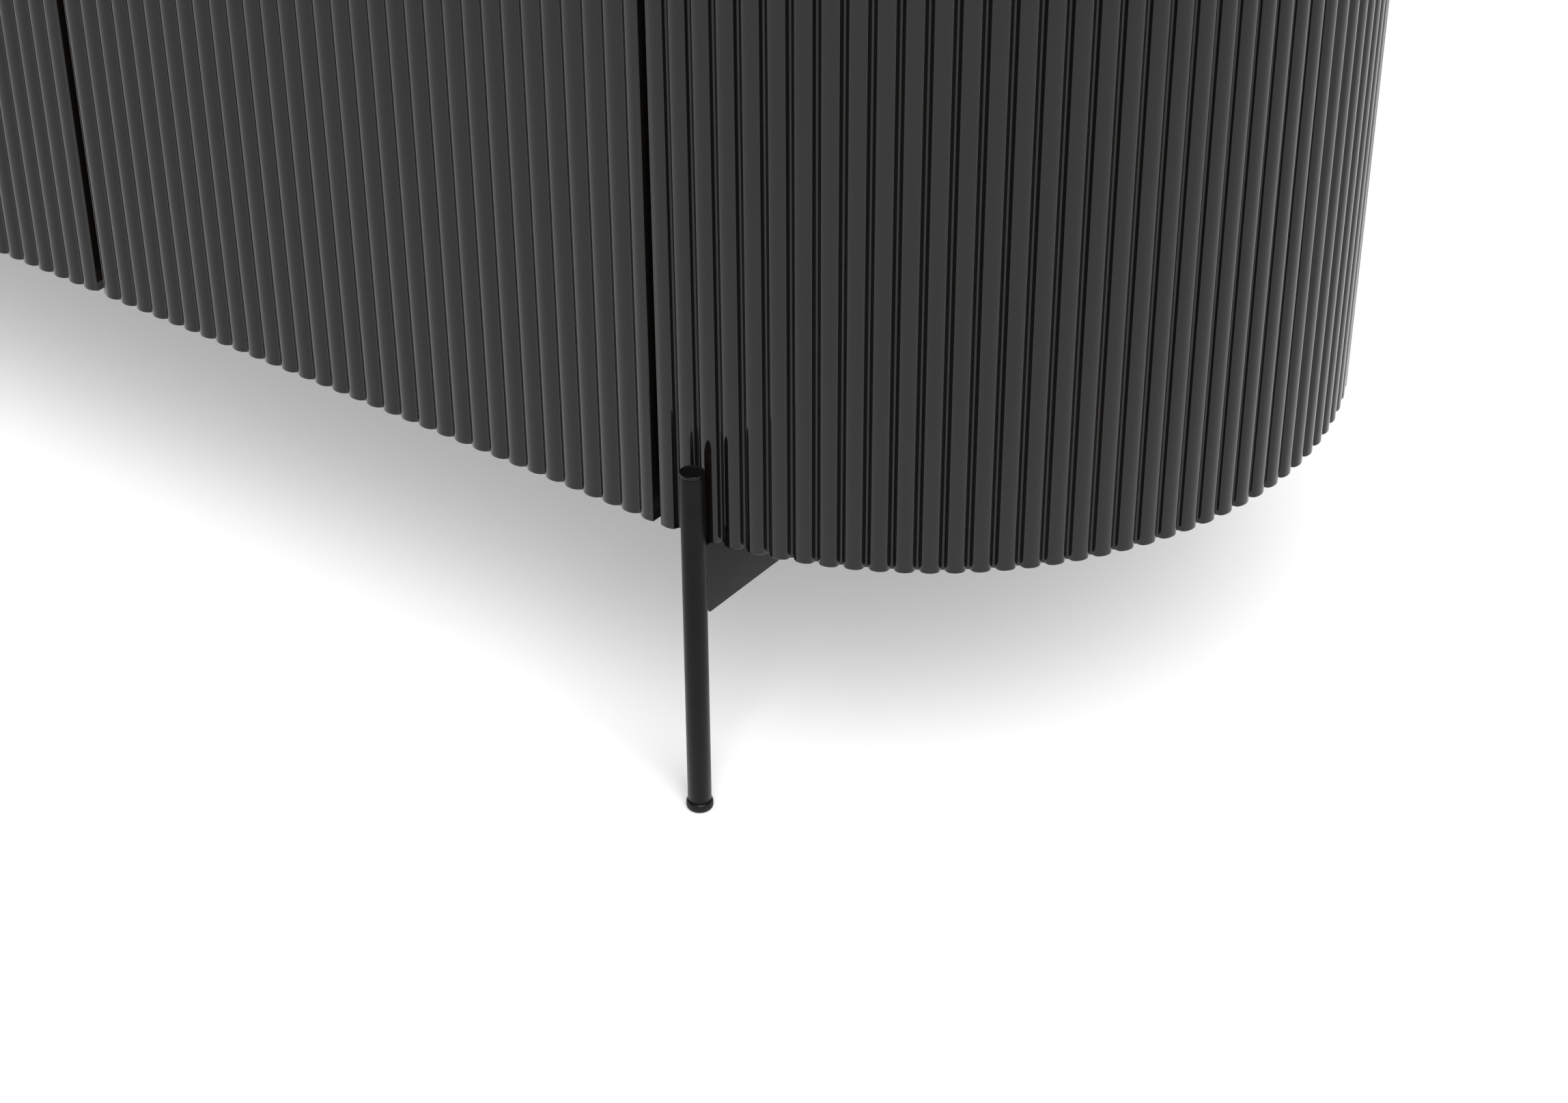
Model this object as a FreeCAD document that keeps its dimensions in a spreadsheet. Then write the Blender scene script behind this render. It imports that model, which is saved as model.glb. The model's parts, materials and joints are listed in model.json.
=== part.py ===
import FreeCAD
import Part
import Sketcher
import math
import os
import re

# Sideboard with fluted push-to-open doors and semicircular fluted ends, standing on four slim
# round legs that run up past the carcass. Millimetres. +X is to the right, -Y is the front,
# +Z is up, and the origin is on the floor under the middle of the carcass.

PITCH = 12.0
FLUTES_PER_DOOR = 32
FLUTES_PER_END = 58
FLUTE_DEPTH = 3.5
FLUTE_CREST = 2.6
DOOR_GAP = 5.2
LEG_RADIUS = 6.0
CARCASS_BOTTOM = 155.0
OVERALL_HEIGHT = 750.0
TOP_THICKNESS = 22.0
DOOR_THICKNESS = 18.0
DOOR_BACK_GAP = 2.0

# The flutes are spaced along this radius: crests stand outside it and grooves are cut inside it.
spacing_radius = FLUTES_PER_END * PITCH / math.pi
door_width = FLUTES_PER_DOOR * PITCH
seam = 2 * door_width + 1.5 * DOOR_GAP
carcass_radius = spacing_radius - DOOR_THICKNESS - DOOR_BACK_GAP

SIZES = {
    # flutes, doors and ends
    "pitch": PITCH,
    "flutes_per_door": FLUTES_PER_DOOR,
    "flutes_per_end": FLUTES_PER_END,
    "flute_depth": FLUTE_DEPTH,
    "flute_crest": FLUTE_CREST,
    "flute_radius": (PITCH ** 2 / 4 + FLUTE_DEPTH ** 2) / (2 * FLUTE_DEPTH),
    "flute_overlap": 0.4,
    "flute_root": 1.0,
    "wall_inset": FLUTE_DEPTH - FLUTE_CREST + 0.2,
    "spacing_radius": spacing_radius,
    "seam": seam,
    "seam_trim": 2.0,
    "door_gap": DOOR_GAP,
    "door_width": door_width,
    "door_thick": DOOR_THICKNESS,
    "door_top_gap": 3.0,
    # carcass
    "bottom": CARCASS_BOTTOM,
    "overall_height": OVERALL_HEIGHT,
    "top_thick": TOP_THICKNESS,
    "underside": OVERALL_HEIGHT - TOP_THICKNESS,
    "top_radius": 1000.0 - seam,
    "top_edge_round": 1.5,
    "panel": 18.0,
    "back_thick": 20.0,
    "carcass_radius": carcass_radius,
    "glue_line": 0.3,
    "dowel_radius": 4.0,
    "dowel_in_edge": 18.0,
    "dowel_in_face": 12.0,
    "dowel_setback": carcass_radius * 0.6,
    "shelf_front": 175.0,
    "shelf_gap": 1.5,
    "shelf_under": 430.0,
    "pin_radius": 2.5,
    "pin_depth": 8.0,
    "pin_reach": 7.0,
    "pin_pitch": 32.0,
    "pin_setback": 140.0,
    # concealed hinges
    "hinge_inset": 90.0,
    "cup_radius": 17.5,
    "cup_clearance": 0.1,
    "cup_depth": 12.0,
    "cup_centre": 22.5,
    "cup_wall": 1.2,
    "flange_long": 60.0,
    "flange_wide": 18.0,
    "flange_thick": 1.0,
    "flange_hole_inset": 5.0,
    "link_long": 12.0,
    "link_deep": 9.0,
    "arm_clearance": 1.6,
    "arm_long": 62.0,
    "arm_wide": 15.0,
    "arm_high": 9.0,
    "nose_long": 8.0,
    "plate_thick": 3.0,
    "plate_long": 34.0,
    "plate_tall": 50.0,
    "plate_setback": 20.0,
    "plate_hole_inset": 7.0,
    "screw_radius": 1.8,
    "screw_head": 3.6,
    "screw_head_thick": 1.2,
    "screw_countersunk": 0.3,
    "screw_clearance": 0.1,
    "screw_long": 8.0,
    # push latches
    "latch_offset": 30.0,
    "latch_wide": 20.0,
    "latch_long": 60.0,
    "latch_high": 20.0,
    "latch_front": 2.0,
    "plunger_radius": 4.0,
    "plunger_bore": 4.1,
    "plunger_long": 42.0,
    "plunger_reach": 2.7,
    "plunger_bore_deep": 46.0,
    "strike_wide": 16.0,
    "strike_thick": 1.0,
    "bumper_radius": 4.0,
    "bumper_thick": 1.2,
    "bumper_inset": 40.0,
    "bumper_height": 9.0,
    # legs
    "leg_radius": LEG_RADIUS,
    "leg_wall": 1.5,
    "leg_out": 28.2,
    "leg_front": 9.2,
    "leg_top": 197.0,
    "cap_thick": 2.0,
    "cap_plug": 10.0,
    "glide_high": 6.0,
    "glide_radius": 6.85,
    "glide_dome": 1.6,
    "glide_neck": 1.0,
    "stem_radius": 3.0,
    "stem_clearance": 0.05,
    "stem_long": 26.0,
    "insert_long": 28.0,
    "rail_high": 40.0,
    "rail_thick": 5.0,
    "rail_plate_thick": 2.5,
    "rail_plate_wide": 45.0,
    "rail_plate_long": 320.0,
    "rail_screw_inset": 25.0,
    "rail_screw_step": 140.0,
    # back fixing screws
    "back_screw_head": 4.0,
    "back_screw_long": 34.0,
    "back_screw_first": 60.0,
    "back_screw_step": 145.0,
}

doc = FreeCAD.newDocument("sideboard")
sheet = doc.addObject("Spreadsheet::Sheet", "Sizes")
for number, (alias, value) in enumerate(SIZES.items(), start=1):
    sheet.set("A%d" % number, alias)
    sheet.set("B%d" % number, "%.4f" % value)
    sheet.setAlias("B%d" % number, alias)
doc.recompute()

parts = []


def formula(text):
    """Turn the size names in a formula into references to the sheet's cells."""
    def cell(match):
        word = match.group()
        return "Sizes." + word if word in SIZES else word
    return re.sub(r"[a-z_]+", cell, str(text))


def bind(thing, **properties):
    """Tie properties of an object to formulas of the sheet's sizes."""
    for name, text in properties.items():
        thing.setExpression(name, formula(text))


def place(thing, x=0, y=0, z=0):
    """Tie an object's position to formulas of the sheet's sizes."""
    for axis, text in zip("xyz", (x, y, z)):
        thing.setExpression(".Placement.Base." + axis, formula(text))


def keep(thing, label):
    """Name a finished sub-part: the label is its node and its file."""
    thing.Label = label
    parts.append(thing)
    return thing


def numeric(text):
    """The value of a formula at the present sizes."""
    return float(sheet.evalExpression(formula(text)))


def ordered(span):
    """The two ends of a span, the lower one first."""
    return sorted(span, key=numeric)


TURN = {
    "x": FreeCAD.Rotation(FreeCAD.Vector(0, 1, 0), 90),
    "y": FreeCAD.Rotation(FreeCAD.Vector(1, 0, 0), -90),
    "z": FreeCAD.Rotation(),
}


def shape_block(block, x, y, z):
    """Make a box fill the three spans, each a pair of formulas."""
    x, y, z = ordered(x), ordered(y), ordered(z)
    lengths = ["(%s)-(%s)" % (high, low) for low, high in (x, y, z)]
    bind(block, Length=lengths[0], Width=lengths[1], Height=lengths[2])
    place(block, x[0], y[0], z[0])
    return block


def shape_rod(cylinder, axis, span, at, radius):
    """Make a cylinder run along an axis over a span, at its two other coordinates."""
    low, high = ordered(span)
    start = list(at)
    start.insert("xyz".index(axis), low)
    cylinder.Placement = FreeCAD.Placement(FreeCAD.Vector(), TURN[axis])
    bind(cylinder, Radius=radius, Height="(%s)-(%s)" % (high, low))
    place(cylinder, *start)
    return cylinder


# Part primitives and booleans

def block(x, y, z):
    return shape_block(doc.addObject("Part::Box", "Block"), x, y, z)


def rod(axis, span, at, radius):
    return shape_rod(doc.addObject("Part::Cylinder", "Rod"), axis, span, at, radius)


def joined(solids):
    fused = doc.addObject("Part::MultiFuse", "Joined")
    fused.Shapes = solids
    return fused


def cut(base, tools):
    """The base with every tool taken away."""
    result = doc.addObject("Part::Cut", "Trimmed")
    result.Base = base
    result.Tool = tools[0] if len(tools) == 1 else joined(tools)
    return result


def group(solids):
    """Separate pieces of one kind that share a node."""
    compound = doc.addObject("Part::Compound", "Pieces")
    compound.Links = solids
    return compound


# PartDesign bodies

def origin_feature(body, role):
    for feature in body.Origin.OriginFeatures:
        if feature.Role == role:
            return feature
    raise ValueError(role)


def new_sketch(body, plane="XY_Plane"):
    sketch = body.newObject("Sketcher::SketchObject", "Outline")
    sketch.AttachmentSupport = [(origin_feature(body, plane), "")]
    sketch.MapMode = "FlatFace"
    return sketch


ORIGIN = (-1, 1)
FIRST, SECOND, CENTRE = 1, 2, 3


def tie(sketch, kind, first, second, size, name):
    """A sketch dimension that follows a formula of the sheet's sizes."""
    index = sketch.addConstraint(Sketcher.Constraint(kind, *first, *second, numeric(size)))
    sketch.renameConstraint(index, name)
    sketch.setExpression("Constraints." + name, formula(size))


def tie_point(sketch, geometry, end, x, y):
    """Hold a sketch point at formulas of x and y from the sketch's origin."""
    for axis, text, zero_line in (("X", x, -2), ("Y", y, -1)):
        if numeric(text) == 0:
            sketch.addConstraint(Sketcher.Constraint("PointOnObject", geometry, end, zero_line))
        else:
            name = "point_%d_%d_%s" % (geometry, end, axis.lower())
            tie(sketch, "Distance" + axis, ORIGIN, (geometry, end), text, name)


def line(sketch, start, end):
    points = [FreeCAD.Vector(numeric(x), numeric(y), 0) for x, y in (start, end)]
    return sketch.addGeometry(Part.LineSegment(*points), False)


def close_loop(sketch, count):
    """Join each of the first edges of a sketch to the next one, and the last to the first."""
    for index in range(count):
        following = (index + 1) % count
        sketch.addConstraint(Sketcher.Constraint("Coincident", index, SECOND, following, FIRST))


def polygon(sketch, points):
    """A closed straight outline through points given as pairs of formulas."""
    for start, end in zip(points, points[1:] + points[:1]):
        line(sketch, start, end)
    close_loop(sketch, len(points))
    for index, (x, y) in enumerate(points):
        tie_point(sketch, index, FIRST, x, y)


def rectangle(sketch, x, y):
    polygon(sketch, [(x[0], y[0]), (x[1], y[0]), (x[1], y[1]), (x[0], y[1])])


def stadium(sketch, half_length, radius):
    """Two straight sides joined by two half circles, centred on the sketch's origin."""
    length, round_radius = numeric(half_length), numeric(radius)
    for sign, low in ((1, -math.pi / 2), (-1, math.pi / 2)):
        line(sketch, ("%d*%s" % (-sign, half_length), "%d*%s" % (-sign, radius)),
             ("%d*%s" % (sign, half_length), "%d*%s" % (-sign, radius)))
        centre = FreeCAD.Vector(sign * length, 0, 0)
        circle = Part.Circle(centre, FreeCAD.Vector(0, 0, 1), round_radius)
        sketch.addGeometry(Part.ArcOfCircle(circle, low, low + math.pi), False)
    close_loop(sketch, 4)
    for side, sign in ((0, 1), (2, -1)):
        tie_point(sketch, side, FIRST, "%d*%s" % (-sign, half_length), "%d*%s" % (-sign, radius))
        tie_point(sketch, side, SECOND, "%d*%s" % (sign, half_length), "%d*%s" % (-sign, radius))
        tie(sketch, "DistanceX", ORIGIN, (side + 1, CENTRE), "%d*%s" % (sign, half_length),
            "centre_%d" % side)


def flute_outline(sketch, crest):
    """One flute: an arc that stands out to -Y, closed inside the wall behind it, and a little
    wider than the pitch so that neighbours cross in a sharp groove.
    The formula crest is the distance of its outermost line from the sketch's origin."""
    half = "(pitch/2+flute_overlap)"
    spring = "flute_radius-sqrt(flute_radius^2-%s^2)-(%s)" % (half, crest)
    root = "flute_depth+flute_root-(%s)" % crest
    left, right = "-" + half, half
    ends = [FreeCAD.Vector(numeric(x), numeric(y), 0)
            for x, y in ((left, spring), ("0", "-(%s)" % crest), (right, spring))]
    sketch.addGeometry(Part.Arc(*ends), False)
    line(sketch, (right, spring), (right, root))
    line(sketch, (right, root), (left, root))
    line(sketch, (left, root), (left, spring))
    close_loop(sketch, 4)
    tie_point(sketch, 1, FIRST, right, spring)
    tie_point(sketch, 2, FIRST, right, root)
    tie_point(sketch, 3, FIRST, left, root)
    tie_point(sketch, 3, SECOND, left, spring)
    index = sketch.addConstraint(Sketcher.Constraint("Radius", 0, numeric("flute_radius")))
    sketch.renameConstraint(index, "flute_radius")
    sketch.setExpression("Constraints.flute_radius", formula("flute_radius"))


def pad(body, sketch, length):
    feature = body.newObject("PartDesign::Pad", "Pad")
    feature.Profile = sketch
    bind(feature, Length=length)
    return feature


def bore(body, axis, span, at, radius):
    cylinder = body.newObject("PartDesign::SubtractiveCylinder", "Bore")
    return shape_rod(cylinder, axis, span, at, radius)


def slot(body, x, y, z):
    return shape_block(body.newObject("PartDesign::SubtractiveBox", "Slot"), x, y, z)


def row(body, features, direction, length, count):
    """Repeat features of a body in a straight row; the formula length is from first to last."""
    pattern = body.newObject("PartDesign::LinearPattern", "Row")
    pattern.Originals = features
    pattern.Direction = direction
    bind(pattern, Length=length, Occurrences=count)
    body.Tip = pattern
    return pattern


DOOR_HEIGHT = "underside-door_top_gap-bottom"
DOOR_BACK = "door_thick-spacing_radius"
CARCASS_FRONT = "-carcass_radius"
UPRIGHT_HEIGHT = "underside-bottom-panel"
SIDES = (("left", -1), ("right", 1))
ENDS = (("front", -1), ("rear", 1))


# Carcass

def make_top_panel():
    body = doc.addObject("PartDesign::Body", "top_panel")
    outline = new_sketch(body)
    stadium(outline, "seam", "top_radius")
    slab = pad(body, outline, "top_thick")
    doc.recompute()
    top_face = max(enumerate(slab.Shape.Faces, start=1), key=lambda item: item[1].CenterOfMass.z)
    edge_round = body.newObject("PartDesign::Fillet", "EdgeRound")
    edge_round.Base = (slab, ["Face%d" % top_face[0]])
    bind(edge_round, Radius="top_edge_round")
    body.Tip = edge_round
    place(body, z="underside")
    keep(body, "top_panel")


def make_bottom_panel():
    body = doc.addObject("PartDesign::Body", "bottom_panel")
    outline = new_sketch(body)
    stadium(outline, "seam", "carcass_radius")
    pad(body, outline, "panel")
    place(body, z="bottom")
    keep(body, "bottom_panel")


def make_end_shell(name, sign):
    """Half-round wall whose outside carries the flutes on round from the doors."""
    body = doc.addObject("PartDesign::Body", name)
    ring = new_sketch(body)
    walls = (("spacing_radius-wall_inset", "outer"), ("carcass_radius+glue_line", "inner"))
    for radius, label in walls:
        circle = Part.Circle(FreeCAD.Vector(), FreeCAD.Vector(0, 0, 1), numeric(radius))
        index = ring.addGeometry(circle, False)
        ring.addConstraint(Sketcher.Constraint("Coincident", index, CENTRE, *ORIGIN))
        number = ring.addConstraint(Sketcher.Constraint("Radius", index, numeric(radius)))
        ring.renameConstraint(number, label)
        ring.setExpression("Constraints." + label, formula(radius))
    pad(body, ring, "underside-bottom")
    flute = new_sketch(body)
    flute_outline(flute, "spacing_radius*cos(90deg/flutes_per_end)+flute_crest")
    flute.AttachmentOffset = FreeCAD.Placement(FreeCAD.Vector(), TURN["z"])
    flute.setExpression(".AttachmentOffset.Rotation.Angle", formula("90deg/flutes_per_end"))
    first_flute = pad(body, flute, "underside-bottom")
    around = body.newObject("PartDesign::PolarPattern", "Around")
    around.Originals = [first_flute]
    around.Axis = (origin_feature(body, "Z_Axis"), [""])
    bind(around, Angle="180deg*(flutes_per_end-1)/flutes_per_end", Occurrences="flutes_per_end")
    body.Tip = around
    clear = "2*spacing_radius"
    body.Tip = slot(body, ("-" + clear, "seam_trim"), ("-" + clear, clear), ("-1", "overall_height"))
    if sign < 0:
        body.Placement = FreeCAD.Placement(FreeCAD.Vector(), FreeCAD.Rotation(180, 0, 0))
    place(body, x="%d*seam" % sign, z="bottom")
    keep(body, name)


BACK_SCREW_ROWS = range(4)


def back_screw_places():
    for x in ("panel/2-seam", "0", "seam-panel/2"):
        for number in BACK_SCREW_ROWS:
            yield x, "bottom+back_screw_first+%d*back_screw_step" % number


def make_back_panel():
    outside = "carcass_radius+back_thick"
    holes = []
    for at in back_screw_places():
        holes.append(rod("y", ("carcass_radius-1", outside), at, "screw_radius"))
        holes.append(rod("y", (outside + "-2*screw_head_thick", outside + "+1"), at,
                         "back_screw_head"))
    board = block(("-seam", "seam"), ("carcass_radius", outside), ("bottom", "underside"))
    keep(cut(board, holes), "back_panel")


def make_back_screws():
    head = "carcass_radius+back_thick-2*screw_head_thick"
    screws = []
    for at in back_screw_places():
        shank = rod("y", (head, head + "-back_screw_long"), at, "screw_radius")
        cap = rod("y", (head, head + "+screw_head_thick"), at, "back_screw_head-2*screw_clearance")
        screws.append(joined([shank, cap]))
    keep(group(screws), "back_screws")


PIN_HEIGHT = "shelf_under-pin_radius"
PIN_HOLES = 5


def make_upright(name, middle, faces):
    """Vertical board with rows of shelf-pin holes in its inner faces; middle is its centre in x,
    and faces lists the signs of the faces that look into a bay."""
    body = doc.addObject("PartDesign::Body", name)
    outline = new_sketch(body)
    rectangle(outline, ("-panel/2", "panel/2"), ("-carcass_radius", "carcass_radius"))
    pad(body, outline, UPRIGHT_HEIGHT)
    lowest = "%s-bottom-panel-%d*pin_pitch" % (PIN_HEIGHT, PIN_HOLES // 2)
    holes = []
    for face in faces:
        inner = "%d*panel/2" % face
        for setback in ("-pin_setback", "pin_setback"):
            span = ("%s-%d*pin_depth" % (inner, face), inner)
            holes.append(bore(body, "x", span, (setback, lowest), "pin_radius"))
    up = (origin_feature(body, "Z_Axis"), [""])
    row(body, holes, up, "%d*pin_pitch" % (PIN_HOLES - 1), PIN_HOLES)
    place(body, x=middle, z="bottom+panel")
    keep(body, name)


def make_shelf(name, sign):
    x = ("%d*(panel/2+shelf_gap)" % sign, "%d*(seam-panel-shelf_gap)" % sign)
    shelf = block(x, ("-shelf_front", "carcass_radius-shelf_gap"),
                  ("shelf_under", "shelf_under+panel"))
    keep(shelf, name)


def make_shelf_pins():
    pins = []
    for side in (-1, 1):
        for face, inward in (("%d*(seam-panel)" % side, -side), ("%d*panel/2" % side, side)):
            for setback in ("-pin_setback", "pin_setback"):
                span = ("%s-%d*pin_depth" % (face, inward), "%s+%d*pin_reach" % (face, inward))
                pins.append(rod("x", span, (setback, PIN_HEIGHT), "pin_radius-0.05"))
    keep(group(pins), "shelf_pins")


def make_dowels():
    dowels = []
    for x in ("panel/2-seam", "0", "seam-panel/2"):
        for y in ("-dowel_setback", "dowel_setback"):
            for span in (("bottom+panel-dowel_in_face", "bottom+panel+dowel_in_edge"),
                         ("underside-dowel_in_edge", "underside+dowel_in_face")):
                dowels.append(rod("z", span, (x, y), "dowel_radius"))
    keep(group(dowels), "carcass_dowels")


# Doors. Each entry: name, left end of its flute block, side of its hinges, and whether its
# hinge edge is the trimmed one beside a rounded end.

DOORS = (
    ("left_outer", "-seam", -1, True),
    ("left_inner", "-door_width-door_gap/2", 1, False),
    ("right_inner", "door_gap/2", -1, False),
    ("right_outer", "1.5*door_gap+door_width", 1, True),
)
HINGE_HEIGHTS = ("bottom+hinge_inset", "underside-door_top_gap-hinge_inset")


def door_edges(start, hinge_side, trimmed):
    """Formulas of the x of a door's hinge edge and of its free edge."""
    trim = "seam_trim" if trimmed else "0"
    left, right = start, start + "+door_width"
    if hinge_side < 0:
        return "%s+%s" % (left, trim), right
    return "%s-%s" % (right, trim), left


def cup_centre(hinge_edge, hinge_side):
    return "%s-%d*cup_centre" % (hinge_edge, hinge_side)


def make_door_panel(name, start, hinge_side, trimmed):
    body = doc.addObject("PartDesign::Body", name + "_door")
    slab_outline = new_sketch(body)
    rectangle(slab_outline, ("0", "door_width"), ("wall_inset", "door_thick"))
    pad(body, slab_outline, DOOR_HEIGHT)
    flute = new_sketch(body)
    flute_outline(flute, "flute_crest")
    flute.AttachmentOffset = FreeCAD.Placement(FreeCAD.Vector(), TURN["z"])
    flute.setExpression(".AttachmentOffset.Base.x", formula("pitch/2"))
    first_flute = pad(body, flute, DOOR_HEIGHT)
    row(body, [first_flute], (flute, ["H_Axis"]), "door_width-pitch", "flutes_per_door")
    hinge_edge, free_edge = door_edges("0", hinge_side, trimmed)
    for trimmed_edge, outward in ((hinge_edge, hinge_side), (free_edge, -hinge_side)):
        outside = "%s+%d*2*seam_trim" % (trimmed_edge, outward)
        slot(body, (trimmed_edge, outside), ("-2*flute_depth", "2*door_thick"),
             ("-1", DOOR_HEIGHT + "+1"))
    for height in HINGE_HEIGHTS:
        at = (cup_centre(hinge_edge, hinge_side), height + "-bottom")
        last = bore(body, "y", ("door_thick-cup_depth", "door_thick+1"), at, "cup_radius")
    body.Tip = last
    place(body, start, "-spacing_radius", "bottom")
    keep(body, name + "_door")


def make_hinge_cups(name, centre):
    """Steel cups let into the door's back, with their ears, and the link folded inside each."""
    floor = DOOR_BACK + "-cup_depth"
    pieces = []
    for height in HINGE_HEIGHTS:
        at = (centre, height)
        outer = rod("y", (floor + "+cup_clearance", DOOR_BACK), at, "cup_radius-cup_clearance")
        ears = block(("%s-flange_wide/2" % centre, "%s+flange_wide/2" % centre),
                     (DOOR_BACK, DOOR_BACK + "+flange_thick"),
                     (height + "-flange_long/2", height + "+flange_long/2"))
        hollow = rod("y", (floor + "+cup_wall", DOOR_BACK + "+2*flange_thick"), at,
                     "cup_radius-cup_clearance-cup_wall")
        pieces.append(cut(joined([outer, ears]), [hollow]))
        pieces.append(block(("%s-link_long/2" % centre, "%s+link_long/2" % centre),
                            (floor + "+cup_wall", floor + "+cup_wall+link_deep"),
                            (height + "-arm_wide/3", height + "+arm_wide/3")))
    keep(group(pieces), name + "_hinge_cups")


def make_cup_screws(name, centre):
    screws = []
    for height in HINGE_HEIGHTS:
        for side in (-1, 1):
            at = (centre, "%s+%d*(flange_long/2-flange_hole_inset)" % (height, side))
            face = DOOR_BACK + "+flange_thick"
            shank = rod("y", (face + "-screw_long", face), at, "screw_radius")
            head = rod("y", (face, face + "+screw_countersunk"), at, "screw_head")
            screws.append(joined([shank, head]))
    keep(group(screws), name + "_cup_screws")


LATCH_HEIGHT = "underside-latch_high/2"


def latch_place(free_edge, hinge_side):
    return "%s+%d*latch_offset" % (free_edge, hinge_side)


def make_strike(name, latch_x):
    strike = block(("%s-strike_wide/2" % latch_x, "%s+strike_wide/2" % latch_x),
                   (DOOR_BACK, DOOR_BACK + "+strike_thick"),
                   (LATCH_HEIGHT + "-strike_wide/2", LATCH_HEIGHT + "+strike_wide/2"))
    keep(strike, name + "_strike_plate")


def make_bumpers(name, free_edge, hinge_side):
    pads = []
    for number in (1, 8):
        at = ("%s+%d*bumper_inset" % (free_edge, hinge_side * number), "bottom+bumper_height")
        pads.append(rod("y", (DOOR_BACK, DOOR_BACK + "+bumper_thick"), at, "bumper_radius"))
    keep(group(pads), name + "_bumpers")


def hinge_faces():
    """Each hinge's bay face, the direction into the bay, and its cup's centre in x."""
    for _, start, hinge_side, trimmed in DOORS:
        hinge_edge, _ = door_edges(start, hinge_side, trimmed)
        inner = "%d*(seam-panel)" % hinge_side if trimmed else "%d*panel/2" % -hinge_side
        for height in HINGE_HEIGHTS:
            yield inner, -hinge_side, cup_centre(hinge_edge, hinge_side), height


ARM_FRONT = DOOR_BACK + "+arm_clearance"
PLATE_FRONT = ARM_FRONT + "+plate_setback"


def make_hinge_arms():
    arms = []
    for inner, way, centre, height in hinge_faces():
        seat = "%s+%d*plate_thick" % (inner, way)
        arm = block((seat, "%s+%d*arm_high" % (seat, way)), (ARM_FRONT, ARM_FRONT + "+arm_long"),
                    (height + "-arm_wide/2", height + "+arm_wide/2"))
        nose = block((seat, "%s+%d*link_long/2" % (centre, way)),
                     (ARM_FRONT, ARM_FRONT + "+nose_long"),
                     (height + "-arm_wide/3", height + "+arm_wide/3"))
        arms.append(joined([arm, nose]))
    keep(group(arms), "hinge_arms")


def plate_screw_places(height):
    return [(PLATE_FRONT + "+plate_long/2", "%s+%d*(plate_tall/2-plate_hole_inset)" % (height, side))
            for side in (-1, 1)]


def make_hinge_plates():
    plates = []
    for inner, way, _, height in hinge_faces():
        seat = "%s+%d*plate_thick" % (inner, way)
        plate = block((inner, seat), (PLATE_FRONT, PLATE_FRONT + "+plate_long"),
                      (height + "-plate_tall/2", height + "+plate_tall/2"))
        holes = [rod("x", ("%s-%d" % (inner, way), "%s+%d*2*plate_thick" % (inner, way)), at,
                     "screw_radius+screw_clearance") for at in plate_screw_places(height)]
        plates.append(cut(plate, holes))
    keep(group(plates), "hinge_plates")


def make_hinge_screws():
    screws = []
    for inner, way, _, height in hinge_faces():
        seat = "%s+%d*plate_thick" % (inner, way)
        for at in plate_screw_places(height):
            shank = rod("x", ("%s-%d*screw_long" % (inner, way), seat), at, "screw_radius")
            head = rod("x", (seat, "%s+%d*screw_head_thick" % (seat, way)), at, "screw_head")
            screws.append(joined([shank, head]))
    keep(group(screws), "hinge_screws")


LATCH_FRONT = CARCASS_FRONT + "+latch_front"


def latches():
    for name, start, hinge_side, trimmed in DOORS:
        _, free_edge = door_edges(start, hinge_side, trimmed)
        yield name, latch_place(free_edge, hinge_side)


def make_latch_housings():
    housings = []
    for _, latch_x in latches():
        case = block(("%s-latch_wide/2" % latch_x, "%s+latch_wide/2" % latch_x),
                     (LATCH_FRONT, LATCH_FRONT + "+latch_long"),
                     ("underside-latch_high", "underside"))
        channel = rod("y", (LATCH_FRONT + "-1", LATCH_FRONT + "+plunger_bore_deep"),
                      (latch_x, LATCH_HEIGHT), "plunger_bore")
        housings.append(cut(case, [channel]))
    keep(group(housings), "latch_housings")


def make_plungers():
    for name, latch_x in latches():
        tip = LATCH_FRONT + "-plunger_reach"
        plunger = rod("y", (tip, tip + "+plunger_long"), (latch_x, LATCH_HEIGHT), "plunger_radius")
        keep(plunger, name + "_latch_plunger")


# Legs

def leg_places():
    """Name, sides and axis position of each leg."""
    for side_name, side in SIDES:
        for end_name, end in ENDS:
            name = "%s_%s" % (side_name, end_name)
            yield name, "%d*(seam+leg_out)" % side, "%d*(spacing_radius+leg_front)" % end


def make_legs():
    for name, x, y in leg_places():
        outside = rod("z", ("glide_high", "leg_top"), (x, y), "leg_radius")
        inside = rod("z", ("glide_high-1", "leg_top+1"), (x, y), "leg_radius-leg_wall")
        keep(cut(outside, [inside]), name + "_leg")


def make_leg_caps():
    caps = []
    for _, x, y in leg_places():
        flange = rod("z", ("leg_top", "leg_top+cap_thick"), (x, y), "leg_radius")
        plug = rod("z", ("leg_top-cap_plug", "leg_top"), (x, y), "leg_radius-leg_wall-0.1")
        caps.append(joined([flange, plug]))
    keep(group(caps), "leg_caps")


def make_leg_inserts():
    inserts = []
    for _, x, y in leg_places():
        sleeve = rod("z", ("glide_high", "glide_high+insert_long"), (x, y), "leg_radius-leg_wall")
        thread = rod("z", ("glide_high-1", "glide_high+insert_long+1"), (x, y),
                     "stem_radius+stem_clearance")
        inserts.append(cut(sleeve, [thread]))
    keep(group(inserts), "leg_inserts")


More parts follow.
